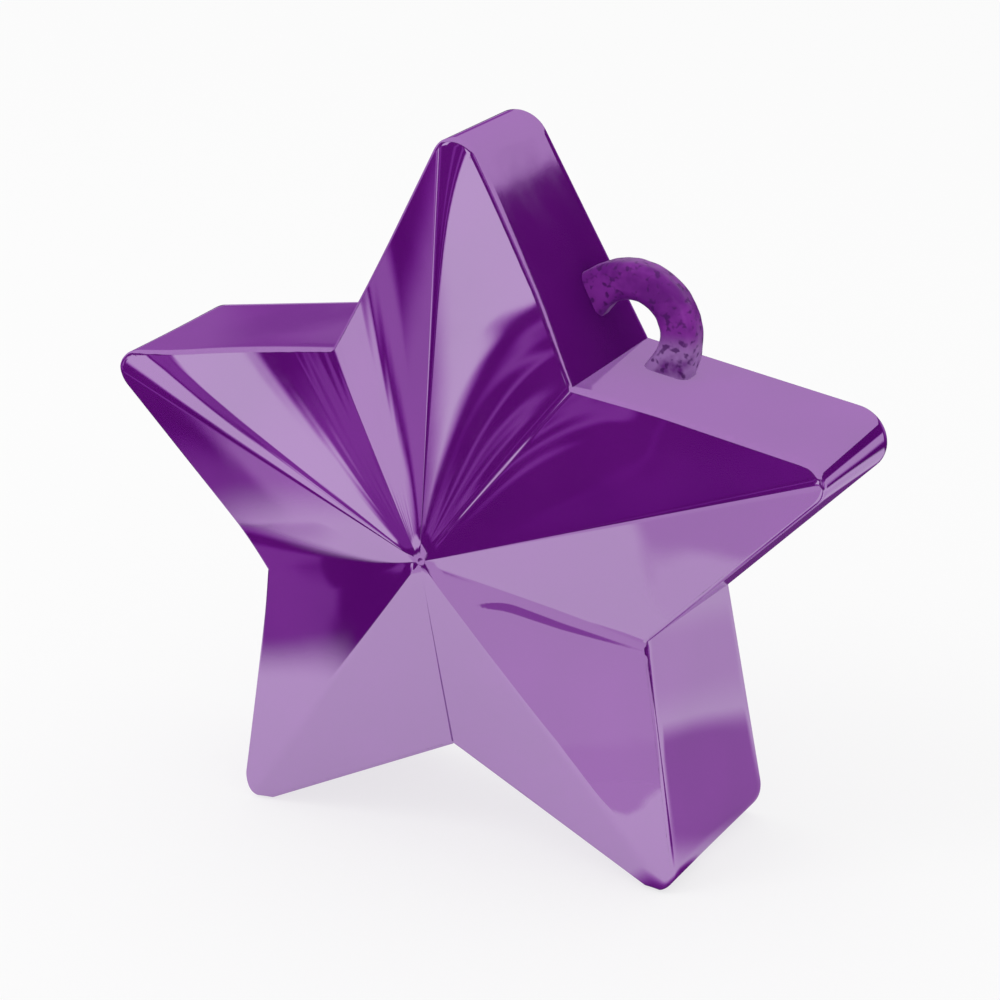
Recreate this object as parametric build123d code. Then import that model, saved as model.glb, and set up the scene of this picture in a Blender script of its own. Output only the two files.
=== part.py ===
from build123d import *
from math import atan2, cos, degrees, radians, sin, tan
import os

os.makedirs("parts", exist_ok=True)

# Star outline, measured at the back plane on the star's axis
points = 5
tip_reach = 57.0          # centre to the sharp corner of a tip, before rounding
notch_reach = 29.25       # centre to the corner of a notch
tip_round_front = 3.0
tip_round_back = 4.6

# Depth
body_depth = 22.5         # front rim to the back, on the axis
facet_rise = 9.0          # the centre peak above the front rim
wall_draft = 2.25         # degrees, walls widen towards the back
back_lean = 5.75          # degrees, the back slopes so that the feet are the deepest part
foot_cut = 0.2            # flat cut from the front end of each foot
rim_bevel = 0.45          # starts this far down the walls
bevel_slope = 1.3         # depth to inset
bevel_run = 2.2
peak_flat = 1.6           # diameter of the small flat on the centre peak

# Shell and cover
wall = 1.7
ledge = 0.8               # width of the step that carries the cover
cover_thickness = 2.0
cover_gap = 0.12          # all round the cover
post_reach = 30.0         # centre to a post, along each arm
post_size = 6.4
post_bore = 3.0
post_gap = 0.25           # post end to cover
peg_gap = 0.06            # radial
peg_length = 8.0
peg_lead = 0.5
peg_end_gap = 1.0         # free bore past a peg's end

# Pour hole and plug
pour_hole = 16.0
plug_head = 20.0
plug_head_depth = 0.9
plug_gap = 0.08           # radial
plug_length = 4.2
plug_dish = 12.0
plug_dish_depth = 2.4

# Ribbon loop
loop_bore = 8.6
loop_band = 4.9           # radial
loop_depth = 4.0          # front to back
loop_round = 1.3
loop_stand = 2.8          # loop centre beyond the notch corner
loop_shift = 0.9          # loop centre towards the top arm
loop_plane = 9.6          # middle of the loop in front of the back, on the axis
leg_band = 3.0
leg_depth = 2.4
leg_round = 0.5
leg_gap = 0.1
leg_inside = 12.0         # leg end measured from the loop centre

# Filling
cast_gap = 0.15           # the filling shrinks a little as it sets

turn = 360 / points
half_turn = radians(turn / 2)
half_tip = atan2(notch_reach * sin(half_turn), tip_reach - notch_reach * cos(half_turn))
edge_reach = tip_reach * sin(half_tip)
front_scale = 1 - body_depth * tan(radians(wall_draft)) / edge_reach
facet_lean = atan2(facet_rise, edge_reach * front_scale)
far = 2 * tip_reach
axis_margin = 10.0        # forms run this far past the body before they are trimmed
front_end = -(body_depth + facet_rise + axis_margin)
back_end = axis_margin


def polar(reach, angle):
    return Vector(reach * cos(radians(angle)), 0, reach * sin(radians(angle)))


def tip_angle(k):
    return 90 - turn * k


def corners(scale, y):
    pts = []
    for k in range(points):
        pts.append(polar(tip_reach * scale, tip_angle(k)) + Vector(0, y, 0))
        pts.append(polar(notch_reach * scale, tip_angle(k) - turn / 2) + Vector(0, y, 0))
    return pts


def scale_at(y, inset):
    return 1 + (y * tan(radians(wall_draft)) - inset) / edge_reach


def tip_round_at(y, inset):
    return tip_round_back + (tip_round_back - tip_round_front) * y / body_depth - inset


def tip_arc(k, y, inset):
    angle = tip_angle(k)
    span = 90 - degrees(half_tip)
    radius = tip_round_at(y, inset)
    middle = polar(tip_reach * scale_at(y, inset) - radius / sin(half_tip), angle) + Vector(0, y, 0)
    ends = [middle + polar(radius, angle + t) for t in (span, 0, -span)]
    return ThreePointArc(*ends).edge()


def notch_point(k, y, inset):
    return polar(notch_reach * scale_at(y, inset), tip_angle(k) - turn / 2) + Vector(0, y, 0)


def star_form(y_front, inset_front, y_back, inset_back):
    ends = ((y_front, inset_front), (y_back, inset_back))
    faces = []
    caps = ([], [])
    for k in range(points):
        arcs = [tip_arc(k, *e) for e in ends]
        nexts = [tip_arc(k + 1, *e) for e in ends]
        notches = [notch_point(k, *e) for e in ends]
        faces.append(Face.make_surface_from_curves(*arcs))
        faces.append(Face(Wire.make_polygon([arcs[0] @ 1, notches[0], notches[1], arcs[1] @ 1])))
        faces.append(Face(Wire.make_polygon([notches[0], nexts[0] @ 0, nexts[1] @ 0, notches[1]])))
        for i in (0, 1):
            to_notch = Line(arcs[i] @ 1, notches[i]).edge()
            from_notch = Line(notches[i], nexts[i] @ 0).edge()
            caps[i].extend([arcs[i], to_notch, from_notch])
    faces.extend(Face(Wire(edges)) for edges in caps)
    return Part() + Solid(Shell(faces))


def star_prism(inset):
    return star_form(front_end, inset, back_end, inset)


def star_cone(inset):
    apex_y = -(body_depth + facet_rise) + inset / cos(facet_lean)
    apex = Vector(0, apex_y, 0)
    base = corners(front_scale * (2 * back_end - apex_y) / facet_rise, 2 * back_end)
    faces = [Face(Wire.make_polygon(base, close=True))]
    for a, b in zip(base, base[1:] + base[:1]):
        faces.append(Face(Wire.make_polygon([apex, a, b], close=True)))
    return Part() + Solid(Shell(faces))


back_normal = (0, cos(radians(back_lean)), sin(radians(back_lean)))
back_plane = Plane(origin=(0, 0, 0), x_dir=(1, 0, 0), z_dir=back_normal)
cover_plane = back_plane.offset(-cover_thickness)


def behind(plane):
    return extrude(plane * Rectangle(2 * far, 2 * far), far)


def below(z):
    return Pos(0, 0, z - far / 2) * Box(2 * far, 2 * far, far)


def cover_seat(p):
    return -p.Z * tan(radians(back_lean)) - cover_thickness


def rod(size, x, z, y_front, y_back):
    start = Plane(origin=(x, y_back, z), x_dir=(1, 0, 0), z_dir=(0, -1, 0))
    return extrude(start * Circle(size / 2), y_back - y_front)


# Outer form of the closed star
front_reach = tip_reach * front_scale - tip_round_front / sin(half_tip)
foot_angle = tip_angle(2)
floor_z = front_reach * sin(radians(foot_angle)) - tip_round_front + foot_cut
outer = star_prism(0) & star_cone(0)
outer -= behind(back_plane)
outer -= below(floor_z)
peak_y = -(body_depth + facet_rise) + peak_flat / 2 * tan(facet_lean)
outer -= rod(far, 0, 0, peak_y - far, peak_y)

# Narrow bevel round the front rim
bevel_back = rim_bevel - body_depth
bevel_front = bevel_back - bevel_run
bevel_slab = Pos(0, (bevel_back + bevel_front) / 2, 0) * Box(2 * far, bevel_run, 2 * far)
outer -= bevel_slab - star_form(bevel_front, bevel_run / bevel_slope, bevel_back, 0)

# Front shell
posts = [polar(post_reach, tip_angle(k)) for k in range(points)]
hollow = star_prism(wall) & star_cone(wall)
hollow -= behind(cover_plane)
hollow -= below(floor_z + wall)
rebate = star_prism(wall - ledge) & behind(cover_plane)
rebate -= below(floor_z + wall - ledge)
post_end = behind(cover_plane.offset(-post_gap))
shell = outer - hollow - rebate
for p in posts:
    post = rod(post_size, p.X, p.Z, front_end, back_end) & outer
    shell += post - post_end
for p in posts:
    bore_end = cover_seat(p) - peg_length - peg_end_gap
    shell -= rod(post_bore, p.X, p.Z, bore_end, back_end)

# Ribbon loop: half ring and two legs that run in towards the star
loop_angle = tip_angle(0) - turn / 2
out_dir = polar(1, loop_angle)
side_dir = polar(1, loop_angle + 90)
loop_mean = (loop_bore + loop_band) / 2
loop_centre = out_dir * (notch_reach + loop_stand) + side_dir * loop_shift + Vector(0, -loop_plane, 0)


def loop_form(band, depth, corner, inward):
    left = loop_centre + side_dir * loop_mean
    right = loop_centre - side_dir * loop_mean
    top = loop_centre + out_dir * loop_mean
    path = Wire([
        Line(left - out_dir * inward, left).edge(),
        ThreePointArc(left, top, right).edge(),
        Line(right, right - out_dir * inward).edge(),
    ])
    start = Plane(origin=left - out_dir * inward, x_dir=side_dir, z_dir=out_dir)
    return sweep(start * RectangleRounded(band, depth, corner), path)


def loop_legs(gap):
    return loop_form(leg_band + 2 * gap, leg_depth + 2 * gap, leg_round, leg_inside + gap)


loop = loop_form(loop_band, loop_depth, loop_round, leg_inside) - star_prism(0)
loop += loop_legs(0)
shell -= loop_legs(leg_gap)

# Back cover
cover_inset = wall - ledge + cover_gap
cover = star_prism(cover_inset) & behind(cover_plane)
cover -= behind(back_plane)
cover -= below(floor_z + cover_inset)
for p in posts:
    seat = cover_seat(p)
    peg = rod(post_bore - 2 * peg_gap, p.X, p.Z, seat - peg_length, seat + cover_thickness / 2)
    peg = chamfer(peg.edges().sort_by(Axis.Y)[0], peg_lead)
    cover += peg
cover -= extrude(back_plane * Circle(pour_hole / 2), -2 * cover_thickness)
cover -= extrude(back_plane * Circle(plug_head / 2), -plug_head_depth)

# Filler plug
plug = extrude(back_plane * Circle(plug_head / 2 - plug_gap), -plug_head_depth)
plug += extrude(back_plane * Circle(pour_hole / 2 - plug_gap), -plug_length)
plug -= extrude(back_plane.offset(-plug_length) * Circle(plug_dish / 2), plug_dish_depth)

# Cast filling
fill = star_prism(wall + cast_gap) & star_cone(wall + cast_gap)
fill -= behind(cover_plane.offset(-cast_gap))
fill -= below(floor_z + wall + cast_gap)
for p in posts:
    fill -= rod(post_size + 2 * cast_gap, p.X, p.Z, front_end, back_end)
fill -= loop_legs(cast_gap)
fill -= extrude(back_plane * Circle(pour_hole / 2 + cast_gap), -(plug_length + cast_gap))

# Frame: Z up, front towards -Y, origin under the middle of the box
box = (shell + cover).bounding_box()
to_frame = Location((0, -(box.min.Y + box.max.Y) / 2, -floor_z))
nodes = {
    "front_shell": shell,
    "back_cover": cover,
    "ribbon_loop": loop,
    "filler_plug": plug,
    "ballast": fill,
}
for name, part in nodes.items():
    placed = part.moved(to_frame)
    print(name, len(placed.solids()), round(placed.volume / 1000, 2), placed.bounding_box())
    export_step(placed.solid(), "parts/" + name + ".step")
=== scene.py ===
import bpy
import bmesh
from math import atan2, cos, degrees, exp, hypot, pi, radians, sin, tan
from mathutils import Matrix, Vector, noise


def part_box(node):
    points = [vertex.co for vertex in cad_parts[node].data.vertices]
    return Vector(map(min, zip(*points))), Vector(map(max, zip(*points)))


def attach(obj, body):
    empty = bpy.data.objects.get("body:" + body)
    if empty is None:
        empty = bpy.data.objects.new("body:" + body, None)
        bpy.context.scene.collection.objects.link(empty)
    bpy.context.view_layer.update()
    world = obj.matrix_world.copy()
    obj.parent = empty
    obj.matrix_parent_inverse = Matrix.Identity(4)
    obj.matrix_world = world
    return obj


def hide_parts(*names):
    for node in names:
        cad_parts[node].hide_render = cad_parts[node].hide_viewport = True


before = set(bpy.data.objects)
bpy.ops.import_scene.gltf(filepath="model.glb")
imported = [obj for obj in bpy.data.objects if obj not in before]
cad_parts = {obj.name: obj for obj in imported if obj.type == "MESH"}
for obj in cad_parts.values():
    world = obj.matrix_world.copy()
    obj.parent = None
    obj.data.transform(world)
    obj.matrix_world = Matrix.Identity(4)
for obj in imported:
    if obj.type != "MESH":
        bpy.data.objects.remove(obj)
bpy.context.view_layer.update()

scene = bpy.context.scene
scene.view_settings.view_transform = "Standard"


# Shader sockets that take part in Python maths

class Wire:
    def __init__(self, board, socket):
        self.board = board
        self.socket = socket

    def __add__(self, other):
        return self.board.math("ADD", self, other)

    def __sub__(self, other):
        return self.board.math("SUBTRACT", self, other)

    def __rsub__(self, other):
        return self.board.math("SUBTRACT", other, self)

    def __mul__(self, other):
        return self.board.math("MULTIPLY", self, other)

    def __truediv__(self, other):
        return self.board.math("DIVIDE", self, other)

    __radd__ = __add__
    __rmul__ = __mul__


class Board:
    def __init__(self, tree):
        self.tree = tree
        tree.nodes.clear()

    def node(self, kind, settings=None, sockets=None):
        made = self.tree.nodes.new(kind)
        for name, value in (settings or {}).items():
            setattr(made, name, value)
        for name, value in (sockets or {}).items():
            self.feed(made.inputs[name], value)
        return made

    def feed(self, socket, value):
        if isinstance(value, Wire):
            self.tree.links.new(value.socket, socket)
        elif isinstance(value, bpy.types.NodeSocket):
            self.tree.links.new(value, socket)
        else:
            socket.default_value = value

    def wire(self, made, output=0):
        return Wire(self, made.outputs[output])

    def math(self, operation, *values):
        made = self.node("ShaderNodeMath", {"operation": operation})
        for socket, value in zip(made.inputs, values):
            self.feed(socket, value)
        return self.wire(made)

    def ease(self, value, low, high, toLow=0.0, toHigh=1.0):
        made = self.node(
            "ShaderNodeMapRange",
            {"interpolation_type": "SMOOTHSTEP"},
            {"Value": value, "From Min": low, "From Max": high, "To Min": toLow, "To Max": toHigh},
        )
        return self.wire(made)

    def rise(self, value, place, soft):
        return self.ease(value, place - soft, place + soft)

    def fall(self, value, place, soft):
        return self.ease(value, place - soft, place + soft, 1.0, 0.0)

    def clamp(self, value, low, high):
        return self.math("MINIMUM", self.math("MAXIMUM", value, low), high)

    def mixColour(self, amount, first, second):
        made = self.node("ShaderNodeMix", {"data_type": "RGBA"})
        self.feed(made.inputs[0], amount)
        self.feed(made.inputs[6], first)
        self.feed(made.inputs[7], second)
        return made.outputs[2]

    def tinted(self, channels):
        names = ("Red", "Green", "Blue")
        return self.node("ShaderNodeCombineColor", {}, dict(zip(names, channels))).outputs[0]

    def blend(self, amount, first, second):
        sockets = {0: amount, 1: first.outputs[0], 2: second.outputs[0]}
        return self.node("ShaderNodeMixShader", {}, sockets)

    def close(self, surface):
        self.node("ShaderNodeOutputMaterial", {}, {"Surface": surface.outputs[0]})


def newBoard(name):
    material = bpy.data.materials.new(name)
    material.use_nodes = True
    return material, Board(material.node_tree)


def speckle(board, coords, scale, detail=2.0, rough=0.5, warp=0.0):
    made = board.node(
        "ShaderNodeTexNoise",
        {"noise_dimensions": "3D"},
        {"Vector": coords, "Scale": scale, "Detail": detail, "Roughness": rough, "Distortion": warp},
    )
    return board.wire(made)


def closeFinish(board, relief, strength, depth, sockets):
    bump = board.node("ShaderNodeBump", {}, {"Strength": strength, "Distance": depth, "Height": relief})
    board.close(board.node("ShaderNodeBsdfPrincipled", {}, {**sockets, "Normal": bump.outputs[0]}))


# Finishes: plating, the loop's mottled plating with a painted reflection on its lower root, and plaster

platedTone = {
    "deep": (0.130, 0.0040, 0.205, 1.0),
    "warm": (0.165, 0.0075, 0.250, 1.0),
    "wornAndSheen": (0.230, 0.0300, 0.320, 1.0),
    "tint": (0.87, 0.66, 1.0, 1.0),
    "ior": 4.6,
    "cloudScale": 38.0,
    "cloudEdges": (0.35, 0.68),
    "hazeScale": 95.0,
    "hazeEdges": (0.40, 0.75),
    "grainScale": 1500.0,
    "grainRough": 0.02,
    "grainRelief": 0.03,
    "rippleScale": 130.0,
    "rippleRelief": 0.8,
    "rubEdges": (0.35, 0.70),    # of the grain, where an edge is rubbed
    "rubShade": 0.55,
    "rubRough": 0.10,
}


def platedFinish(name, roughLow, roughHigh, bumpDepth):
    tone = platedTone
    material, board = newBoard(name)
    coords = board.node("ShaderNodeTexCoord").outputs["Object"]
    cloud = speckle(board, coords, tone["cloudScale"], detail=3.0)
    cloud = board.ease(cloud, *tone["cloudEdges"])
    haze = speckle(board, coords, tone["hazeScale"], detail=4.0, rough=0.6, warp=0.4)
    haze = board.ease(haze, *tone["hazeEdges"])
    grain = speckle(board, coords, tone["grainScale"], rough=0.6)
    ripple = speckle(board, coords, tone["rippleScale"], detail=1.0)
    rub = board.wire(board.node("ShaderNodeAttribute", {"attribute_name": "rub"}), 2)
    rubbed = rub * board.ease(grain, *tone["rubEdges"])
    shade = board.mixColour(cloud, tone["deep"], tone["warm"])
    shade = board.mixColour(rubbed * tone["rubShade"], shade, tone["wornAndSheen"])
    rough = roughLow + (roughHigh - roughLow) * haze
    rough = rough + grain * tone["grainRough"] + rubbed * tone["rubRough"]
    relief = ripple * tone["rippleRelief"] + grain * tone["grainRelief"]
    sockets = {"Base Color": shade, "Roughness": rough}
    sockets.update({"IOR": tone["ior"], "Specular Tint": tone["tint"]})
    closeFinish(board, relief, 1.0, bumpDepth, sockets)
    return material


loopTone = {
    "deep": (0.135, 0.0080, 0.205, 1.0),
    "mid": (0.225, 0.0220, 0.310, 1.0),
    "spot": (0.060, 0.0030, 0.105, 1.0),
    # colour of the painted reflection on the lower root
    "pale": (0.420, 0.2300, 0.530, 1.0),
    "sheenLow": 0.0665,           # painted reflection: the lower root is pale below this height, for the right arm's upper wall mirrored in it
    "sheenHigh": 0.0700,
    "tint": (0.85, 0.45, 1.0, 1.0),
    "ior": 1.5,
    "spotScale": 1300.0,
    "spotEdges": (0.53, 0.72),
    "cloudScale": 210.0,
    "cloudEdges": (0.36, 0.60),
    "sheenEdges": (0.28, 0.50),   # of the cloud, where the painted reflection shows on the lower root
    "sheenShade": 0.85,
    "spotShade": 0.80,
    "grainScale": 2400.0,
    "rough": (0.26, 0.10, 0.12),     # plain, added by the cloud and by the spots
    "relief": (0.8, -0.4, 0.15),     # of the cloud, the spots and the grain
    "bumpStrength": 0.9,
    "bumpDepth": 0.00007,
}


def mottledFinish(name):
    tone = loopTone
    material, board = newBoard(name)
    coords = board.node("ShaderNodeTexCoord").outputs["Object"]
    cloud = speckle(board, coords, tone["cloudScale"], detail=3.0, rough=0.6)
    spots = speckle(board, coords, tone["spotScale"], detail=1.0, rough=0.4)
    spots = board.ease(spots, *tone["spotEdges"])
    grain = speckle(board, coords, tone["grainScale"], rough=0.6)
    shade = board.mixColour(board.ease(cloud, *tone["cloudEdges"]), tone["deep"], tone["mid"])
    height = board.wire(board.node("ShaderNodeSeparateXYZ", {}, {"Vector": coords}), 2)
    # painted reflection: low on the loop, cloudy patches turn pale lilac for the right arm's upper wall
    # mirrored in it
    root = board.ease(height, tone["sheenLow"], tone["sheenHigh"], 1.0, 0.0)
    wornAndSheen = root * board.ease(cloud, *tone["sheenEdges"])
    shade = board.mixColour(wornAndSheen * tone["sheenShade"], shade, tone["pale"])
    shade = board.mixColour(spots * tone["spotShade"], shade, tone["spot"])
    plain, byCloud, bySpots = tone["rough"]
    rough = plain + byCloud * cloud + bySpots * spots
    relief = cloud * tone["relief"][0] + spots * tone["relief"][1] + grain * tone["relief"][2]
    sockets = {"Base Color": shade, "Roughness": rough}
    sockets.update({"IOR": tone["ior"], "Specular Tint": tone["tint"]})
    closeFinish(board, relief, tone["bumpStrength"], tone["bumpDepth"], sockets)
    return material


plasterTone = {
    "grey": (0.46, 0.44, 0.41, 1.0),
    "pale": (0.60, 0.58, 0.54, 1.0),
    "pit": (0.33, 0.31, 0.29, 1.0),
    "patchScale": 70.0,
    "pitScale": 650.0,
    "pitEdges": (0.30, 0.52),
    "rough": (0.80, 0.12),       # plain and added by the patches
    "bumpStrength": 0.6,
    "bumpDepth": 0.0002,
}


def plasterFinish(name):
    tone = plasterTone
    material, board = newBoard(name)
    coords = board.node("ShaderNodeTexCoord").outputs["Object"]
    patches = speckle(board, coords, tone["patchScale"], detail=4.0, rough=0.6)
    pits = speckle(board, coords, tone["pitScale"], detail=3.0, rough=0.7)
    pits = board.ease(pits, *tone["pitEdges"])
    shade = board.mixColour(patches, tone["grey"], tone["pale"])
    shade = board.mixColour(1 - pits, shade, tone["pit"])
    rough = tone["rough"][0] + tone["rough"][1] * patches
    sockets = {"Base Color": shade, "Roughness": rough}
    closeFinish(board, pits + patches, tone["bumpStrength"], tone["bumpDepth"], sockets)
    return material


starFinish = platedFinish("plated_star", roughLow=0.030, roughHigh=0.060, bumpDepth=0.00001)
coverFinish = platedFinish("plated_cover", roughLow=0.10, roughHigh=0.20, bumpDepth=0.00002)
loopFinish = mottledFinish("plated_loop")
plugFinish = platedFinish("moulded_plug", roughLow=0.20, roughHigh=0.32, bumpDepth=0.00003)
fillFinish = plasterFinish("cast_filling")
print("finishes ready")


# Star outline shared by the shell and the cover

star = {
    "arms": 5,
    "tipReach": 0.0570,
    "notchReach": 0.02925,
    "tipRoundFront": 0.0030,
    "tipRoundBack": 0.0046,
    "bodyDepth": 0.0225,
    "facetRise": 0.0090,
    "wallDraft": 2.25,       # degrees
    "backLean": 5.75,        # degrees
    "footCut": 0.0002,
    "peakFlat": 0.0016,      # across
    "arcSteps": 24,
    "edgeSteps": 76,
    "edgeGrade": 1.2,        # closer steps towards the notches
}

armTurn = 360 / star["arms"]
halfTurn = radians(armTurn / 2)
halfTip = atan2(
    star["notchReach"] * sin(halfTurn), star["tipReach"] - star["notchReach"] * cos(halfTurn)
)
edgeReach = star["tipReach"] * sin(halfTip)
draftSlope = tan(radians(star["wallDraft"]))
leanSlope = tan(radians(star["backLean"]))
frontScale = 1 - star["bodyDepth"] * draftSlope / edgeReach
facetSlope = star["facetRise"] / (edgeReach * frontScale)
footTurn = 90 - degrees(halfTip)             # from an arm's axis to the square on its edge
armSteps = star["arcSteps"] + 2 * star["edgeSteps"]
ringSteps = star["arms"] * armSteps
apexY = -(star["bodyDepth"] + star["facetRise"])
frontTip = star["tipReach"] * frontScale - star["tipRoundFront"] / sin(halfTip)
floorZ = frontTip * sin(radians(90 - 2 * armTurn)) - star["tipRoundFront"] + star["footCut"]
shellLow = Vector(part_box("front_shell")[0])
peakY = apexY + star["peakFlat"] / 2 * facetSlope
starPlace = Vector((0, shellLow.y - peakY, -floorZ))     # star's axis at its back, in the frame


def polar(reach, angle):
    return Vector((reach * cos(radians(angle)), 0, reach * sin(radians(angle))))


def tipPoint(arm, swing, scale, rounding):
    axis = 90 - armTurn * arm
    middle = star["tipReach"] * scale - rounding / sin(halfTip)
    return polar(middle, axis) + polar(rounding, axis + swing)


def outlinePoint(step, y, inset):
    arm, place = divmod(step, armSteps)
    scale = 1 + (y * draftSlope - inset) / edgeReach
    growth = (star["tipRoundBack"] - star["tipRoundFront"]) / star["bodyDepth"]
    rounding = star["tipRoundBack"] + growth * y - inset
    arcSteps, edgeSteps = star["arcSteps"], star["edgeSteps"]
    if place <= arcSteps:
        return tipPoint(arm, footTurn * (1 - 2 * place / arcSteps), scale, rounding)
    notch = polar(star["notchReach"] * scale, 90 - armTurn * (arm + 0.5))
    if place <= arcSteps + edgeSteps:
        share = 1 - (place - arcSteps) / edgeSteps
        start = tipPoint(arm, -footTurn, scale, rounding)
    else:
        share = (place - arcSteps - edgeSteps) / edgeSteps
        start = tipPoint(arm + 1, footTurn, scale, rounding)
    return notch.lerp(start, share ** star["edgeGrade"])


def backDepth(z, forward=0.0):
    return -z * leanSlope - forward / cos(radians(star["backLean"]))


def startRing():
    mesh = bmesh.new()
    mesh.verts.layers.int.new("step")
    mesh.verts.layers.float.new("rub")
    made = bmesh.ops.create_circle(mesh, segments=ringSteps, radius=star["tipReach"])
    layer = mesh.verts.layers.int["step"]
    for step, vert in enumerate(made["verts"]):
        vert[layer] = step
    return mesh, made["verts"], list(mesh.edges)


def nextRing(mesh, edges):
    made = bmesh.ops.extrude_edge_only(mesh, edges=edges)["geom"]
    verts = [item for item in made if isinstance(item, bmesh.types.BMVert)]
    fresh = set(verts)
    sides = [item for item in made if isinstance(item, bmesh.types.BMEdge)]
    return verts, [edge for edge in sides if fresh.issuperset(edge.verts)]


def placeRing(mesh, verts, position, rub=0.0):
    stepLayer = mesh.verts.layers.int["step"]
    rubLayer = mesh.verts.layers.float["rub"]
    for vert in verts:
        vert.co = position(vert[stepLayer])
        vert[rubLayer] = rub


def roundOff(mesh, geom, offset, segments, affect="EDGES"):
    bmesh.ops.bevel(
        mesh, geom=geom, offset=offset, affect=affect, segments=segments, profile=0.5, material=-1
    )


def weld(mesh):
    bmesh.ops.remove_doubles(mesh, verts=mesh.verts, dist=1e-6)


def markSharp(mesh, angle):
    for edge in mesh.edges:
        edge.smooth = len(edge.link_faces) == 2 and edge.calc_face_angle() < radians(angle)


def finishPiece(mesh, name, material, node, sharp=38):
    bmesh.ops.translate(mesh, verts=mesh.verts, vec=starPlace)
    bmesh.ops.recalc_face_normals(mesh, faces=mesh.faces)
    for face in mesh.faces:
        face.smooth = True
    markSharp(mesh, sharp)
    data = bpy.data.meshes.new(name)
    mesh.to_mesh(data)
    mesh.free()
    piece = bpy.data.objects.new(name, data)
    scene.collection.objects.link(piece)
    data.materials.append(material)
    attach(piece, "root")
    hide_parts(node)
    print(name, "has", len(data.polygons), "faces")
    return piece


# Front shell: facets, rounded rim, drafted walls, rebate for the cover and the hollow inside

shellForm = {
    "facetRings": 46,
    "ringGrade": 1.25,           # closer rings towards the peak
    "wallRings": 16,
    "rimRound": 0.0005,
    "backRound": 0.0003,
    "wall": 0.0017,
    "ledge": 0.0008,
    "coverThickness": 0.0020,
    "wallWarp": 0.00007,
    "wallWarpScale": 42.0,
    "wallWarpSink": 0.6,         # keeps the warp inside the walls
    "nubRings": ((0.70, 0.00006), (0.45, 0.000036), (0.20, 0.000012)),    # share of the peak, depth
    "nubMiddle": 0.00001,        # depth
}

# Limits of the facets' rounding, in degrees and metres
facetForm = {
    "leastReach": 0.001,
    "leastBand": 0.02,           # share of a band's size left near the peak
    "leastGrowth": 0.4,
    "mostGrowth": 8.0,
    "mostSoft": 34.0,
    "mostRidge": 12.0,
    "ridgeReach": 0.046,         # where a ridge has its full width at the tip
    "ridgePower": 7,
    "pinchFrom": 0.029,
    "pinchTo": 0.038,
}

# Valleys, each after the arm of the same number, clockwise from the top: half width of the
# rounding at the notch in degrees, how it widens towards the peak and narrows towards the rim
valleys = [
    {"soft": 26.5, "grow": 0.1, "pinch": 0.32},
    {"soft": 1.2, "grow": 0.0, "pinch": 0.0},
    {"soft": 2.0, "grow": 0.0, "pinch": 0.0},
    {"soft": 13.0, "grow": -0.3, "pinch": 0.0},
    {"soft": 26.0, "grow": 0.1, "pinch": 0.0},
]

# Ridges: lean, half width of the rounding on both sides and its growth at the tip, in degrees
ridges = [
    {"lean": -1.4, "left": 0.9, "right": 0.7, "leftTip": 0.0, "rightTip": 2.0},
    {"lean": 0.0, "left": 0.9, "right": 0.9, "leftTip": 0.0, "rightTip": 0.0},
    {"lean": 0.0, "left": 0.9, "right": 0.9, "leftTip": 0.0, "rightTip": 0.0},
    {"lean": 0.0, "left": 0.9, "right": 0.9, "leftTip": 0.0, "rightTip": 0.0},
    {"lean": 0.0, "left": 0.9, "right": 6.5, "leftTip": 0.0, "rightTip": 6.5},
]

# Crown of the two facets of each arm, left then right seen from the front
facetCrown = [
    (0.00012, 0.00014),
    (0.00012, -0.00010),
    (0.00003, 0.00006),
    (0.00006, 0.00014),
    (0.00010, 0.00014),
]

# Flow lines of the moulding beside a valley: strength, spacing in degrees, how they curl and bend
# along it, middle and half width in degrees, length, and the reach where they have their full size
flowLines = [
    {"valley": 0, "strength": 0.0055, "wave": 5.0, "curl": -2.2, "bend": 3.0,
     "middle": 0.0, "wide": 32.0, "long": 0.018, "full": 0.006, "seed": 3},
    {"valley": 4, "strength": 0.0030, "wave": 2.4, "curl": -1.2, "bend": 1.0,
     "middle": 0.0, "wide": 26.0, "long": 0.030, "full": 0.006, "seed": 5},
    {"valley": 4, "strength": 0.0016, "wave": 0.9, "curl": -1.2, "bend": 1.0,
     "middle": -33.5, "wide": 5.0, "long": 0.030, "full": 0.006, "seed": 7},
]

# Shallow folds beside a valley: tilt, half width, how they narrow outside one reach, bend away
# from the valley inside another, where they start and where they have their full size
folds = [
    {"valley": 1, "tilt": -0.066, "wide": 0.00175, "narrow": 0.05, "outside": 0.0185,
     "bend": 90.0, "inside": 0.0125, "start": 0.006, "full": 0.010},
]

# Raised bands beside a valley: rise at the valley, width and shape of the slope, and the reach where
# they start and where they have their full size. On the other side they fade out at the ridge
bands = [
    {"valley": 3, "rise": 0.00040, "wide": 0.0064, "edge": 1.25, "start": 0.003, "full": 0.018},
    {"valley": 3, "rise": 0.00010, "wide": 0.0120, "edge": 2.0, "start": 0.006, "full": 0.026},
]

# Fine lines left by the mould in the bottom of a valley: rise, or depth of a groove, half width at the
# notch, how both grow with the reach, and the reach where they are at full height
creases = [
    {"valley": 0, "rise": 0.00006, "wide": 0.00025, "spread": 0.0, "full": 0.008},
    {"valley": 2, "rise": -0.00028, "wide": 0.00010, "spread": 1.0, "full": 0.008},
]


def softAbs(value, width):
    size = abs(value)
    return size if size > width else (value * value + width * width) / (2 * width)


def easeBetween(value, low, high):
    share = min(1.0, max(0.0, (value - low) / (high - low)))
    return share * share * (3 - 2 * share)


def ridgeTurn(turn, width, limit):
    gain = limit / (limit - width / 2)            # the valley keeps its place
    return gain * (turn * turn / (2 * width) if turn < width else turn - width / 2)


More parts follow.
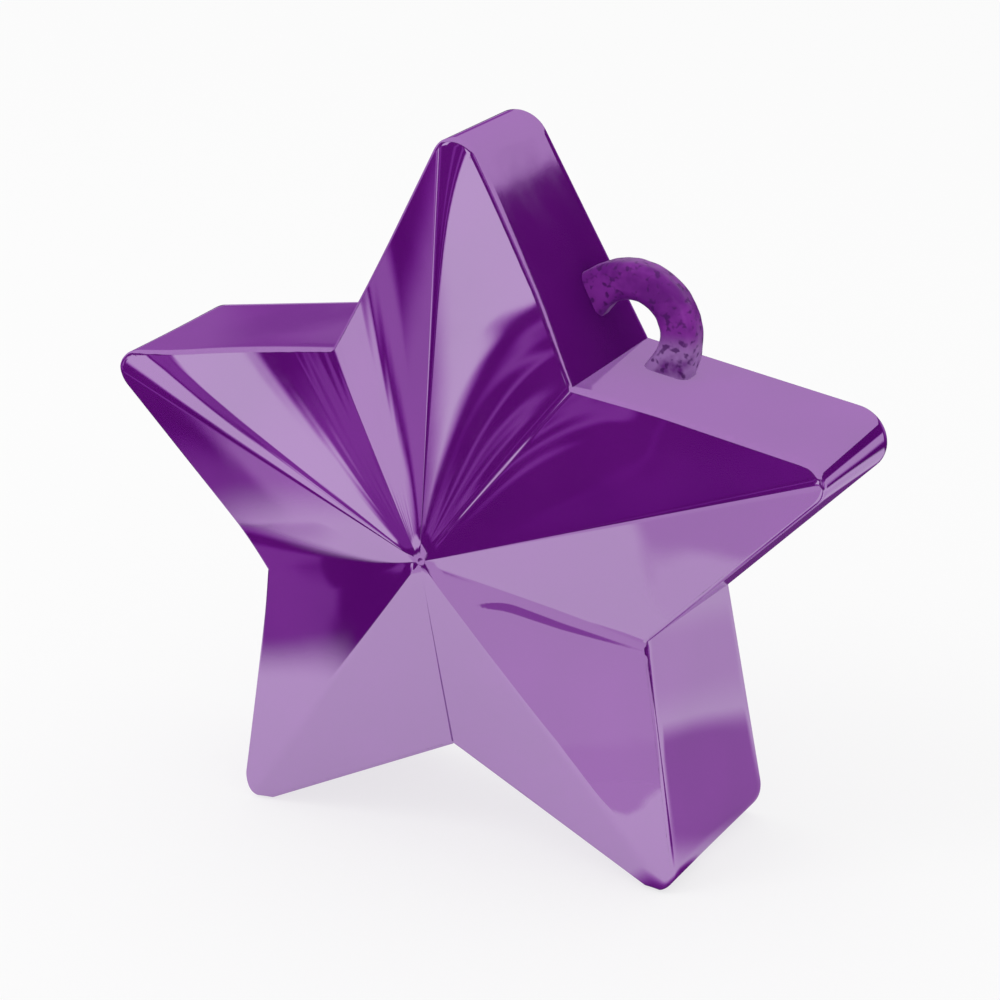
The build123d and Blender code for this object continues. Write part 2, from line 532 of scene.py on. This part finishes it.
def facetDetail(number, off, side, reach):
    detail = 0.0
    for flow in flowLines:
        place = (side - flow["middle"]) / flow["wide"]
        if flow["valley"] == number and abs(place) < 1:
            along = side / flow["wave"] + flow["curl"] * (reach / star["notchReach"]) ** flow["bend"]
            wave = noise.noise(Vector((along, reach / flow["long"], flow["seed"])))
            height = flow["strength"] * reach * facetSlope * min(1.0, reach / flow["full"])
            detail += height * (1 - place ** 2) ** 2 * wave
    for fold in folds:
        wide = fold["wide"] - fold["narrow"] * max(0.0, reach - fold["outside"])
        middle = wide + fold["bend"] * max(0.0, fold["inside"] - reach) ** 2
        place = (radians(side) * reach - middle) / wide
        if fold["valley"] == number and abs(place) < 1:
            start = easeBetween(reach, fold["start"], fold["full"])
            detail += fold["tilt"] * wide * place * (1 - place ** 2) ** 2 * start
    for band in bands:
        if band["valley"] == number:
            start = max(facetForm["leastBand"], easeBetween(reach, band["start"], band["full"]))
            away = radians(side) * reach / (start * band["wide"])
            share = max(0.0, 1 - away) ** band["edge"]
            if side <= 0:
                share = easeBetween(side, -armTurn / 2, 0)
            detail -= band["rise"] * start * share
    for crease in creases:
        if crease["valley"] == number:
            size = (max(reach, facetForm["leastReach"]) / star["notchReach"]) ** crease["spread"]
            away = radians(off) * reach / (crease["wide"] * size)
            detail -= crease["rise"] * size * exp(-away ** 2) * min(1.0, reach / crease["full"])
    return detail


def facetDepth(x, z, detail=True):
    reach = hypot(x, z)
    turn = (90 - degrees(atan2(z, x))) / armTurn
    arm = round(turn)
    swing = (turn - arm) * armTurn
    half = armTurn / 2
    if not detail:
        return apexY + facetSlope * reach * cos(radians(footTurn - abs(swing)))
    ridge = ridges[arm % star["arms"]]
    lean = ridge["lean"]
    swing = (swing - lean) * half / (half - lean if swing > lean else half + lean)
    hand = "right" if swing > 0 else "left"
    number = (arm if swing > 0 else arm - 1) % star["arms"]
    valley = valleys[number]
    off = half - abs(swing)                       # degrees from the valley
    growth = star["notchReach"] / max(reach, facetForm["leastReach"])
    growth = min(facetForm["mostGrowth"], max(facetForm["leastGrowth"], growth)) ** valley["grow"]
    tip = (reach / facetForm["ridgeReach"]) ** facetForm["ridgePower"]
    width = min(facetForm["mostRidge"], ridge[hand] + ridge[hand + "Tip"] * tip)
    pinch = valley["pinch"] * easeBetween(reach, facetForm["pinchFrom"], facetForm["pinchTo"])
    soft = min(facetForm["mostSoft"], valley["soft"] * growth) * (1 - pinch)
    rounded = ridgeTurn(half - softAbs(off, soft), width, half - soft / 2)
    fall = reach * cos(radians(footTurn - rounded))
    share = min(1.0, fall / (edgeReach * frontScale))
    across = abs(swing) / half
    crown = facetCrown[arm % star["arms"]][1 if swing > 0 else 0]
    crown *= 4 * share * (1 - share) * 4 * across * (1 - across)     # full in the middle of the facet
    depth = apexY + facetSlope * fall - crown
    depth += facetDetail(number, off, -off if swing > 0 else off, reach)
    return max(depth, peakY)


def rimPoint(step):
    point = outlinePoint(step, -star["bodyDepth"], 0.0)
    point.y = facetDepth(point.x, point.z)
    return point


def wallPoint(step, share):
    rim = rimPoint(step)
    point = rim
    for _ in range(2):
        y = rim.y + (backDepth(max(point.z, floorZ)) - rim.y) * share
        point = outlinePoint(step, y, 0.0)
        point.y = y
    outward = Vector((point.x, 0, point.z)).normalized()
    sway = noise.noise(point * shellForm["wallWarpScale"]) - shellForm["wallWarpSink"]
    return point + outward * shellForm["wallWarp"] * sway * 4 * share * (1 - share)


def backPoint(step, inset, forward):
    point = outlinePoint(step, 0.0, inset)
    for _ in range(2):
        y = backDepth(max(point.z, floorZ + inset), forward)
        point = outlinePoint(step, y, inset)
    point.y = y
    return point


def onFloor(point, inset=0.0):
    point.z = max(point.z, floorZ + inset)
    return point


def towardsPeak(step, share):
    rim = rimPoint(step)
    reach = hypot(rim.x, rim.z)
    peak = star["peakFlat"] / 2
    scale = (peak + (reach - peak) * share) / reach
    return Vector((rim.x * scale, facetDepth(rim.x * scale, rim.z * scale), rim.z * scale))


def nubPoint(step, share, depth):
    point = towardsPeak(step, 0.0)
    return Vector((point.x * share, peakY + depth, point.z * share))


def innerRimPoint(step, thick):
    inset = shellForm["wall"]
    point = outlinePoint(step, -star["bodyDepth"], inset)
    point.y = facetDepth(point.x, point.z, False) + thick
    return onFloor(point, inset)


def addFacets(mesh, edges):
    for ring in range(1, shellForm["facetRings"] + 1):
        share = (1 - ring / shellForm["facetRings"]) ** (1 / shellForm["ringGrade"])
        verts, edges = nextRing(mesh, edges)
        placeRing(mesh, verts, lambda step: towardsPeak(step, share))
    for share, depth in shellForm["nubRings"]:
        verts, edges = nextRing(mesh, edges)
        placeRing(mesh, verts, lambda step: nubPoint(step, share, depth), rub=1.0)
    bmesh.ops.pointmerge(mesh, verts=verts, merge_co=Vector((0, peakY + shellForm["nubMiddle"], 0)))


def addWalls(mesh, edges):
    for ring in range(1, shellForm["wallRings"] + 1):
        share = ring / shellForm["wallRings"]
        verts, edges = nextRing(mesh, edges)
        placeRing(mesh, verts, lambda step: onFloor(wallPoint(step, share)))
    return edges


def addInside(mesh, edges):
    wall, deep = shellForm["wall"], shellForm["coverThickness"]
    lip = wall - shellForm["ledge"]
    for inset, forward in ((lip, 0.0), (lip, deep), (wall, deep)):
        verts, edges = nextRing(mesh, edges)
        placeRing(mesh, verts, lambda step: onFloor(backPoint(step, inset, forward), inset))
    thick = wall / cos(atan2(facetSlope, 1))
    verts, edges = nextRing(mesh, edges)
    placeRing(mesh, verts, lambda step: innerRimPoint(step, thick))
    verts, edges = nextRing(mesh, edges)
    bmesh.ops.pointmerge(mesh, verts=verts, merge_co=Vector((0, apexY + thick, 0)))


def makeShell():
    mesh, verts, rimEdges = startRing()
    placeRing(mesh, verts, lambda step: onFloor(rimPoint(step)), rub=1.0)
    addFacets(mesh, rimEdges)
    backEdges = addWalls(mesh, rimEdges)
    addInside(mesh, backEdges)
    roundOff(mesh, rimEdges, shellForm["rimRound"], segments=3)
    roundOff(mesh, backEdges, shellForm["backRound"], segments=2)
    finishPiece(mesh, "star_shell", starFinish, "front_shell")


makeShell()


# Ribbon loop: half ring whose roots run into the walls

loopForm = {
    "bore": 0.0086,
    "band": 0.0049,
    "depth": 0.0040,
    "round": 0.0013,
    "roundSteps": 8,
    "sideCuts": 4,
    "stand": 0.0028,         # beyond the notch corner
    "shift": 0.0009,         # towards the top arm
    "plane": 0.0096,         # in front of the back
    "legReach": 0.0055,
    "ringSteps": 72,
    "rootSwell": 0.16,
    "swellReach": 0.00258,
    "lump": 0.00006,
    "lumpScale": 900.0,
    "lumpSink": 0.5,         # keeps the lumps inside the solid
    "sharp": 50,             # degrees
}


def makeSection(mesh, centre, side, middle):
    halfBand, halfDepth = loopForm["band"] / 2, loopForm["depth"] / 2
    corners = []
    for across, along in ((-1, -1), (1, -1), (1, 1), (-1, 1)):
        place = centre + side * (middle + halfBand * across) + Vector((0, halfDepth * along, 0))
        corners.append(mesh.verts.new(place))
    mesh.faces.new(corners)
    roundOff(mesh, corners, loopForm["round"], loopForm["roundSteps"], affect="VERTICES")
    face = max(mesh.faces, key=lambda item: item.calc_area())
    straight = [edge for edge in face.edges if edge.calc_length() > loopForm["round"] / 2]
    bmesh.ops.subdivide_edges(mesh, edges=straight, cuts=loopForm["sideCuts"])


def swellRoots(mesh, centre, out, side, middle):
    for vert in mesh.verts:
        arm = vert.co - centre
        height = max(0.0, arm.dot(out))
        reach = hypot(arm.dot(out), arm.dot(side))
        swell = loopForm["rootSwell"] * exp(-(height / loopForm["swellReach"]) ** 2)
        direction = (out * arm.dot(out) + side * arm.dot(side)).normalized()
        vert.co += direction * (reach - middle) * swell


def addLumps(mesh):
    mesh.normal_update()
    bmesh.ops.recalc_face_normals(mesh, faces=mesh.faces)
    mesh.normal_update()
    for vert in mesh.verts:
        sway = noise.noise(vert.co * loopForm["lumpScale"])
        vert.co += vert.normal * loopForm["lump"] * (sway - loopForm["lumpSink"])


def makeLoop():
    mesh = bmesh.new()
    mesh.verts.layers.float.new("rub")
    outAngle = 90 - armTurn / 2
    out = polar(1, outAngle)
    side = polar(1, outAngle + 90)
    centre = out * (star["notchReach"] + loopForm["stand"]) + side * loopForm["shift"]
    centre += Vector((0, -loopForm["plane"], 0))
    middle = (loopForm["bore"] + loopForm["band"]) / 2
    makeSection(mesh, centre, side, middle)
    made = bmesh.ops.spin(
        mesh, geom=[*mesh.faces, *mesh.edges, *mesh.verts], cent=centre, axis=(0, 1, 0), angle=pi,
        steps=loopForm["ringSteps"], use_merge=False, use_normal_flip=False, use_duplicate=False,
    )
    ends = [[item for item in made["geom_last"] if isinstance(item, bmesh.types.BMFace)]]
    ends.append([face for face in mesh.faces if len(face.verts) > 8 and face not in ends[0]])
    swellRoots(mesh, centre, out, side, middle)
    for faces in ends:                           # both ends run on as legs
        legs = bmesh.ops.extrude_discrete_faces(mesh, faces=faces)["faces"]
        verts = list({vert for face in legs for vert in face.verts})
        bmesh.ops.translate(mesh, verts=verts, vec=out * -loopForm["legReach"])
    weld(mesh)
    addLumps(mesh)
    ring = finishPiece(
        mesh, "ribbon_ring", loopFinish, "ribbon_loop", loopForm["sharp"]
    )
    ring.visible_glossy = False                  # the walls show no mirror image of it


makeLoop()


# Back cover: star plate with a stepped pour hole, five faint sinks behind its pegs

coverForm = {
    "inset": 0.00102,
    "thickness": 0.0020,
    "edgeRound": 0.0003,
    "pourHole": 0.0160,
    "plugSeat": 0.0200,
    "seatDepth": 0.0009,
    "pegReach": 0.0300,
    "sink": 0.00009,
    "sinkSize": 0.0028,
    "rings": 16,
}


def makeCover():
    inset = coverForm["inset"]

    def edgePoint(step, forward):
        return onFloor(backPoint(step, inset, forward), inset)

    mesh, verts, edges = startRing()
    placeRing(mesh, verts, lambda step: edgePoint(step, coverForm["thickness"]))
    frontEdges = edges
    verts, edges = nextRing(mesh, edges)
    placeRing(mesh, verts, lambda step: edgePoint(step, 0.0))
    backEdges = edges
    pegs = [polar(coverForm["pegReach"], 90 - armTurn * arm) for arm in range(star["arms"])]

    def circlePoint(step, radius, forward):
        point = outlinePoint(step, 0.0, 0.0).normalized() * radius
        point.z *= cos(radians(star["backLean"]))
        point.y = backDepth(point.z, forward)
        return point

    def facePoint(step, share):
        point = edgePoint(step, 0.0).lerp(circlePoint(step, coverForm["plugSeat"] / 2, 0.0), share)
        away = [hypot(point.x - peg.x, point.z - peg.z) / coverForm["sinkSize"] for peg in pegs]
        sink = sum(exp(-size ** 2) for size in away)
        point.y = backDepth(point.z, coverForm["sink"] * sink)
        return point

    for ring in range(1, coverForm["rings"] + 1):
        share = ring / coverForm["rings"]
        verts, edges = nextRing(mesh, edges)
        placeRing(mesh, verts, lambda step: facePoint(step, share))
    seatEdges = edges
    steps = (
        (coverForm["plugSeat"] / 2, coverForm["seatDepth"]),
        (coverForm["pourHole"] / 2, coverForm["seatDepth"]),
        (coverForm["pourHole"] / 2, coverForm["thickness"]),
    )
    for radius, forward in steps:
        verts, edges = nextRing(mesh, edges)
        placeRing(mesh, verts, lambda step: circlePoint(step, radius, forward))
    bmesh.ops.bridge_loops(mesh, edges=edges + frontEdges)
    roundOff(mesh, backEdges + seatEdges, coverForm["edgeRound"], segments=2)
    finishPiece(mesh, "cover_plate", coverFinish, "back_cover")


makeCover()


# Filler plug: turned stopper with a dished head

plugForm = {
    "headRadius": 0.00992,
    "headDepth": 0.0009,
    "stemRadius": 0.00792,
    "length": 0.0042,
    "dishRadius": 0.0060,
    "dishDepth": 0.0024,
    "faceDip": 0.00025,
    "dipShares": (0.45, 0.78, 0.86),     # of the head, where the dip is full, half and none
    "edgeRound": 0.0003,
    "steps": 96,
}


def makePlug():
    mesh = bmesh.new()
    mesh.verts.layers.float.new("rub")
    head, stem, dish = plugForm["headRadius"], plugForm["stemRadius"], plugForm["dishRadius"]
    fullDip, halfDip, noDip = (head * share for share in plugForm["dipShares"])
    profile = (
        (0.0, -plugForm["faceDip"]),
        (fullDip, -plugForm["faceDip"]),
        (halfDip, -plugForm["faceDip"] / 2),
        (noDip, 0.0),
        (head, 0.0),
        (head, -plugForm["headDepth"]),
        (stem, -plugForm["headDepth"]),
        (stem, -plugForm["length"]),
        (dish, -plugForm["length"]),
        (dish, plugForm["dishDepth"] - plugForm["length"]),
        (0.0, plugForm["dishDepth"] - plugForm["length"]),
    )
    verts = [mesh.verts.new((radius, height, 0)) for radius, height in profile]
    for pair in zip(verts, verts[1:]):
        mesh.edges.new(pair)
    corners = [verts[4], verts[5], verts[7]]     # both edges of the head and the end of the stem
    roundOff(mesh, corners, plugForm["edgeRound"], segments=3, affect="VERTICES")
    bmesh.ops.spin(
        mesh, geom=[*mesh.edges, *mesh.verts], cent=(0, 0, 0), axis=(0, 1, 0), angle=2 * pi,
        steps=plugForm["steps"], use_merge=True, use_normal_flip=False, use_duplicate=False,
    )
    weld(mesh)
    lean = Matrix.Rotation(radians(star["backLean"]), 3, "X")
    bmesh.ops.rotate(mesh, verts=mesh.verts, cent=(0, 0, 0), matrix=lean)
    finishPiece(mesh, "pour_plug", plugFinish, "filler_plug")


makePlug()

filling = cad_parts["ballast"]
filling.data.materials.clear()
filling.data.materials.append(fillFinish)
print("pieces ready")


# Studio: pale floor, white background, a soft lamp and the room that the plating mirrors

studio = {
    "floorTone": (0.90, 0.90, 0.90, 1.0),
    "floorSize": 6.0,
    "floorDrop": 0.0003,         # below the mirrored sheet
    "whiteShare": 0.72,
    "fill": 0.92,
    "keyPlace": (-0.45, -0.55, 0.75),
    "keySize": 0.50,
    "keyPower": 1.6,
    "keyAim": (0, 0, 0.045),
}

# Pale sheet under the part, seen only in the plating
sheet = {
    "left": -0.0772,             # at the middle of its slant
    "leftSlant": -0.53,
    "leftMiddle": -0.032,
    "slantFront": -0.065,        # the slant runs between these
    "slantBack": 0.0,
    "right": 0.150,
    "front": -0.180,
    "back": 0.140,
    "soft": 0.010,
    "pale": 0.98,
    "glow": 0.6,                 # share that the part's own shadow doesn't reach
    "far": 0.74,                 # tone of its front end
    "farFrom": -0.068,
    "farSoft": 0.003,
    "cornerTone": 0.69,
    "cornerFrom": 0.0275,
    "cornerNear": -0.0520,
    "windowNear": -0.0390,       # clear tongue between the corner and the star
    "windowTip": 0.0330,
    "windowSlant": 1.2,
    "cornerSoft": 0.0016,
    "wobble": 0.005,             # uneven outlines
    "wobbleScale": 110.0,
    "shadeCore": 0.4,             # of a painted shade's half width, where its tone is full and where it ends
    "shadeRim": 1.3,
}

# Painted shade on the sheet, which the plating mirrors: darker places, among them the star's cast shadow
# and a contact shadow under a foot; start, end, half width and tone
shadeBlots = [
    # painted shadow of the star, cast to the back right
    {"start": (0.0405, 0.0185), "end": (0.059, 0.045), "wide": 0.015, "tone": 0.44},
    {"start": (0.086, 0.088), "end": (0.087, 0.089), "wide": 0.030, "tone": 0.84},
    {"start": (0.004, 0.085), "end": (0.010, 0.126), "wide": 0.028, "tone": 0.12},
    # dark strip, mirrored as a dark line along the front edge of the lower right arm
    {"start": (0.062, -0.004), "end": (0.165, 0.006), "wide": 0.015, "tone": 0.05},
    # painted contact shadow under the foot of the lower right arm
    {"start": (0.030, -0.008), "end": (0.030, -0.004), "wide": 0.005, "tone": 0.10},
]

room = {
    "dim": 0.010,
    "ceiling": 0.74,
    "frontEdge": 32.0,           # degrees, where the ceiling starts
    "backEdge": 5.3,
    "backSlant": 16.6,
    "edgeSoft": 0.08,
    "sideFrom": 75.0,            # turn where the front ends and where the back starts
    "sideTo": 115.0,
}

# Red, green and blue of a mirrored tone: the half tones are tinted
toneCurve = (0.95, 1.6, 0.8)

# Panels of the room: turn from the front and height in degrees, half sizes, softness, tone and slant
panels = [
    {"turn": 0.5, "height": 6.2, "wide": 1.2, "tall": 9.0, "soft": 1.2, "tone": 0.24, "slant": 0.56},
    {"turn": -7.5, "height": 10.7, "wide": 1.6, "tall": 9.0, "soft": 1.4, "tone": 0.20, "slant": 0.56},
    {"turn": -15.0, "height": 18.0, "wide": 1.5, "tall": 5.0, "soft": 1.2, "tone": 0.04, "slant": 0.56},
    {"turn": 20.4, "height": 6.0, "wide": 14.0, "tall": 13.0, "soft": 1.6, "tone": 1.04, "slant": 0.6},
    {"turn": -36.5, "height": 3.0, "wide": 4.2, "tall": 6.0, "soft": 1.0, "tone": 0.15, "slant": 0.0},
    {"turn": -31.0, "height": 18.0, "wide": 7.3, "tall": 10.0, "soft": 1.4, "tone": 1.04, "slant": 0.0},
    {"turn": -60.0, "height": -3.0, "wide": 3.0, "tall": 11.0, "soft": 1.5, "tone": 0.40, "slant": 0.0},
    {"turn": -44.5, "height": -9.5, "wide": 5.0, "tall": 8.0, "soft": 1.4, "tone": 0.95, "slant": 0.0},
    {"turn": -51.0, "height": -1.6, "wide": 3.6, "tall": 4.6, "soft": 1.2, "tone": 0.90, "slant": 0.0},
    {"turn": -41.0, "height": 4.0, "wide": 3.0, "tall": 3.0, "soft": 1.0, "tone": 0.22, "slant": 0.0},
    {"turn": 14.0, "height": -12.0, "wide": 16.0, "tall": 5.0, "soft": 1.5, "tone": 0.30, "slant": 0.0},
    {"turn": -79.0, "height": -43.5, "wide": 8.0, "tall": 7.2, "soft": 0.8, "tone": 0.20, "slant": 0.0},
    {"turn": -64.5, "height": -38.0, "wide": 7.2, "tall": 6.5, "soft": 1.0, "tone": 0.22, "slant": 0.0},
    {"turn": -64.5, "height": -42.0, "wide": 7.2, "tall": 6.8, "soft": 0.8, "tone": 0.52, "slant": 0.0},
    {"turn": -73.4, "height": -19.5, "wide": 9.0, "tall": 8.5, "soft": 1.0, "tone": 0.20, "slant": 0.0},
    {"turn": -144.0, "height": 8.0, "wide": 8.0, "tall": 6.0, "soft": 0.5, "tone": 0.28, "slant": 0.0},
    {"turn": -138.6, "height": 8.0, "wide": 5.0, "tall": 6.0, "soft": 0.6, "tone": 0.42, "slant": 0.0},
    {"turn": -146.0, "height": 13.0, "wide": 6.0, "tall": 2.15, "soft": 0.2, "tone": 0.42, "slant": 0.0},
    {"turn": 118.0, "height": -3.0, "wide": 20.0, "tall": 9.0, "soft": 8.0, "tone": 0.55, "slant": 0.0},
    {"turn": -114.0, "height": -3.0, "wide": 20.0, "tall": 9.0, "soft": 8.0, "tone": 0.55, "slant": 0.0},
    {"turn": 172.0, "height": -4.0, "wide": 8.0, "tall": 8.0, "soft": 6.0, "tone": 0.45, "slant": 0.0},
    {"turn": 78.0, "height": 10.0, "wide": 9.0, "tall": 14.0, "soft": 5.0, "tone": 0.70, "slant": 0.3},
    {"turn": -96.0, "height": 14.0, "wide": 8.0, "tall": 12.0, "soft": 5.0, "tone": 0.70, "slant": -0.3},
    {"turn": 149.0, "height": -12.0, "wide": 7.0, "tall": 10.0, "soft": 1.5, "tone": 0.80, "slant": 0.0},
    {"turn": 15.0, "height": -20.2, "wide": 6.0, "tall": 3.0, "soft": 1.0, "tone": 0.69, "slant": 0.0},
    {"turn": -5.0, "height": -52.0, "wide": 40.0, "tall": 16.0, "soft": 3.0, "tone": 0.93, "slant": 0.0},
]


def makePlane(name, low, high, height):
    mesh = bmesh.new()
    bmesh.ops.create_grid(mesh, x_segments=2, y_segments=2, size=0.5)
    bmesh.ops.scale(mesh, verts=mesh.verts, vec=(high[0] - low[0], high[1] - low[1], 1))
    middle = ((low[0] + high[0]) / 2, (low[1] + high[1]) / 2, height)
    bmesh.ops.translate(mesh, verts=mesh.verts, vec=middle)
    data = bpy.data.meshes.new(name)
    mesh.to_mesh(data)
    mesh.free()
    plane = bpy.data.objects.new(name, data)
    scene.collection.objects.link(plane)
    return plane


def makeFloor():
    half = studio["floorSize"] / 2
    floor = makePlane("floor", (-half, -half), (half, half), -studio["floorDrop"])
    floor.visible_glossy = False
    material, board = newBoard("pale_floor")
    camera = board.wire(board.node("ShaderNodeLightPath"), 0)
    matt = board.node("ShaderNodeBsdfDiffuse", {}, {"Color": studio["floorTone"]})
    white = board.node("ShaderNodeEmission", {}, {"Color": (1, 1, 1, 1), "Strength": 1.0})
    board.close(board.blend(camera * studio["whiteShare"], matt, white))
    floor.data.materials.append(material)


def sheetFinish(name):
    material, board = newBoard(name)
    coords = board.node("ShaderNodeTexCoord").outputs["Object"]
    axes = board.node("ShaderNodeSeparateXYZ", {}, {"Vector": coords})
    x, y = board.wire(axes, 0), board.wire(axes, 1)
    soft = sheet["soft"]
    level = board.clamp(y, sheet["slantFront"], sheet["slantBack"]) - sheet["leftMiddle"]
    mask = board.rise(x - level * sheet["leftSlant"], sheet["left"], soft)
    mask = mask * board.fall(x, sheet["right"], soft)
    mask = mask * board.rise(y, sheet["front"], soft)
    mask = mask * board.fall(y, sheet["back"], soft)
    wobble = speckle(board, coords, sheet["wobbleScale"], detail=1.0) - 0.5
    wobble = wobble * sheet["wobble"]
    away = board.fall(y + wobble * 2, sheet["farFrom"], sheet["farSoft"])
    soft = sheet["cornerSoft"]
    corner = board.rise(x + wobble, sheet["cornerFrom"], soft)
    tongue = y + wobble + board.math("ABSOLUTE", x - sheet["windowTip"]) * sheet["windowSlant"]
    window = corner * board.fall(tongue, sheet["windowNear"], soft)
    near = board.rise(y + wobble, sheet["cornerNear"], soft)
    mask = mask * (1 - window * near)
    corner = corner * board.fall(y + wobble, sheet["cornerNear"] + 2 * soft, soft)
    tone = sheet["pale"] + (sheet["far"] - sheet["pale"]) * away
    tone = tone + (sheet["cornerTone"] - sheet["pale"]) * corner * (1 - away)
    # painted shade: each darker place pulls the sheet's tone down
    for shadeBlot in shadeBlots:
        start, end = Vector(shadeBlot["start"]), Vector(shadeBlot["end"])
        run = end - start
        along = ((x - start.x) * run.x + (y - start.y) * run.y) / run.length_squared
        along = board.clamp(along, 0.0, 1.0)
        offX, offY = x - start.x - along * run.x, y - start.y - along * run.y
        away = board.math("SQRT", offX * offX + offY * offY)
        core, rim = sheet["shadeCore"] * shadeBlot["wide"], sheet["shadeRim"] * shadeBlot["wide"]
        tone = board.math("MINIMUM", tone, board.ease(away, core, rim, shadeBlot["tone"], 1.0))
    colour = board.tinted([board.math("POWER", tone, power) for power in toneCurve])
    matt = board.node("ShaderNodeBsdfDiffuse", {}, {"Color": colour})
    glow = board.node("ShaderNodeEmission", {}, {"Color": colour, "Strength": 1.0})
    clear = board.node("ShaderNodeBsdfTransparent")
    board.close(board.blend(mask, clear, board.blend(sheet["glow"], matt, glow)))
    return material


def makeSheet():
    spare = 2 * sheet["soft"]
    low = (sheet["left"] - 2 * spare, sheet["front"] - spare)
    high = (sheet["right"] + spare, sheet["back"] + spare)
    plane = makePlane("sheet", low, high, 0.0)
    plane.visible_camera = False
    plane.visible_diffuse = False
    plane.visible_shadow = False
    plane.data.materials.append(sheetFinish("mirrored_sheet"))


def makeRoom():
    world = bpy.data.worlds.new("studio")
    world.use_nodes = True
    scene.world = world
    board = Board(world.node_tree)
    coords = board.node("ShaderNodeTexCoord").outputs["Generated"]
    axes = board.node("ShaderNodeSeparateXYZ", {}, {"Vector": coords})
    x, y, z = (board.wire(axes, axis) for axis in range(3))
    turn = board.math("ARCTAN2", x, y * -1) * degrees(1)
    height = board.math("ARCSINE", z) * degrees(1)
    behind = board.ease(board.math("ABSOLUTE", turn), room["sideFrom"], room["sideTo"])
    backEdge = room["backEdge"] + room["backSlant"] * x
    edge = room["frontEdge"] * (1 - behind) + backEdge * behind
    tone = room["dim"] + board.rise(height - edge, 0.0, room["edgeSoft"]) * room["ceiling"]
    for panel in panels:
        rise = height - panel["height"]
        offTurn = board.math("ABSOLUTE", turn - panel["turn"] - rise * panel["slant"])
        offHeight = board.math("ABSOLUTE", rise)
        mask = board.fall(offTurn, panel["wide"], panel["soft"])
        mask = mask * board.fall(offHeight, panel["tall"], panel["soft"])
        tone = tone * (1 - mask) + mask * panel["tone"]
    rays = board.node("ShaderNodeLightPath")
    camera, glossy = board.wire(rays, 0), board.wire(rays, 3)
    plain = camera + (1 - camera) * (1 - glossy) * studio["fill"]
    mirrored = (1 - camera) * glossy
    channels = [plain + mirrored * board.math("POWER", tone, power) for power in toneCurve]
    sky = board.node("ShaderNodeBackground", {}, {"Color": board.tinted(channels), "Strength": 1.0})
    board.node("ShaderNodeOutputWorld", {}, {"Surface": sky.outputs[0]})


def makeLamp(name, place, size, power, aim):
    lamp = bpy.data.lights.new(name, "AREA")
    lamp.shape = "DISK"
    lamp.size = size
    lamp.energy = power
    holder = bpy.data.objects.new(name, lamp)
    holder.location = place
    holder.rotation_euler = (Vector(aim) - Vector(place)).to_track_quat("-Z", "Y").to_euler()
    holder.visible_glossy = False
    scene.collection.objects.link(holder)


makeFloor()
makeSheet()
makeRoom()
makeLamp("key_lamp", studio["keyPlace"], studio["keySize"], studio["keyPower"], studio["keyAim"])
print("studio ready")


# Camera

cameraView = {
    "turn": 26.87,           # degrees from the front, towards +X
    "height": 20.205,
    "roll": 0.41,
    "place": (0.169456, -0.330645, 0.181128),
    "lens": 111.54,          # mm, on a sensor of this width
    "sensor": 36.0,
}


def makeCamera():
    lens = bpy.data.cameras.new("view")
    lens.sensor_width = cameraView["sensor"]
    lens.lens = cameraView["lens"]
    camera = bpy.data.objects.new("view", lens)
    swing = Matrix.Rotation(radians(cameraView["turn"]), 4, "Z")
    tilt = Matrix.Rotation(radians(90 - cameraView["height"]), 4, "X")
    roll = Matrix.Rotation(radians(cameraView["roll"]), 4, "Z")
    camera.matrix_world = Matrix.Translation(cameraView["place"]) @ swing @ tilt @ roll
    scene.collection.objects.link(camera)
    scene.camera = camera


makeCamera()
print("camera ready")
